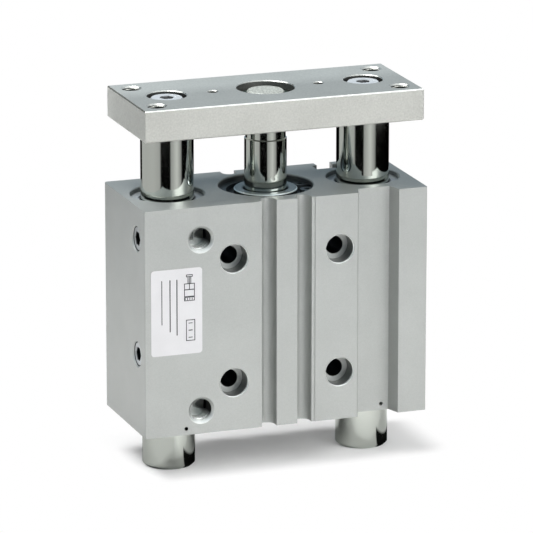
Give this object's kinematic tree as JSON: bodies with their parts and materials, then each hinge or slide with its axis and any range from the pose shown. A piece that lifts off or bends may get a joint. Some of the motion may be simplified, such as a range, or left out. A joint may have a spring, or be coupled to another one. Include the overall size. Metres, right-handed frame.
{
  "type": "guided pneumatic cylinder",
  "caption": "Compact air cylinder with a piston rod between two guide rods that carry a rectangular tool plate; extruded body with ports, sensor grooves and counterbored mounting holes.",
  "frame": {"origin": "under the middle of the body, level with the feet of the guide rods at rest", "axes": "+Z the way the plate moves out, -Y the face with the ports, X across the guide rods"},
  "size_m": [0.112, 0.048, 0.143],
  "materials": {
    "anodised_aluminium": "clear anodised, matt",
    "machined_aluminium": "turned",
    "nickel_plated_steel": "nickel plated, satin",
    "hard_chromed_steel": "ground and chromed",
    "bearing_bronze": "sintered",
    "nitrile_rubber": "moulded",
    "phosphated_spring_steel": "phosphated",
    "scraper_case": "pressed sheet",
    "black_oxide_steel": "black oxide",
    "zinc_plated_steel": "zinc plated",
    "bonded_magnet": "plastic bonded",
    "filled_plastic": "machined"
  },
  "bodies": {
    "housing": {"cylinder_body": "anodised_aluminium", "front_cover": "machined_aluminium", "front_retaining_ring": "phosphated_spring_steel", "rod_bush": "bearing_bronze", "rod_seal": "nitrile_rubber", "rod_wiper": "nitrile_rubber", "front_cover_o_ring": "nitrile_rubber", "front_bumper": "nitrile_rubber", "rear_cover": "machined_aluminium", "rear_cover_o_ring": "nitrile_rubber", "rear_retaining_ring": "phosphated_spring_steel", "rear_bumper": "nitrile_rubber", "left_upper_guide_bush": "bearing_bronze", "left_lower_guide_bush": "bearing_bronze", "right_upper_guide_bush": "bearing_bronze", "right_lower_guide_bush": "bearing_bronze", "left_guide_scraper": "scraper_case", "right_guide_scraper": "scraper_case", "left_lower_retaining_ring": "phosphated_spring_steel", "right_lower_retaining_ring": "phosphated_spring_steel", "side_port_plugs": "zinc_plated_steel", "passage_plug_ball": "zinc_plated_steel"},
    "carriage": {"tool_plate": "nickel_plated_steel", "left_guide_rod": "hard_chromed_steel", "right_guide_rod": "hard_chromed_steel", "guide_rod_screws": "zinc_plated_steel", "piston_rod": "hard_chromed_steel", "plate_nut": "black_oxide_steel", "piston": "machined_aluminium", "piston_o_ring": "nitrile_rubber", "piston_magnet": "bonded_magnet", "piston_guide_ring": "filled_plastic", "piston_seal": "nitrile_rubber", "piston_nut": "zinc_plated_steel"}
  },
  "joints": [
    {"name": "stroke", "type": "slide", "parent": "housing", "child": "carriage", "axis": [0, 0, 1], "range_m": [-0.0155, 0.0345]}
  ]
}
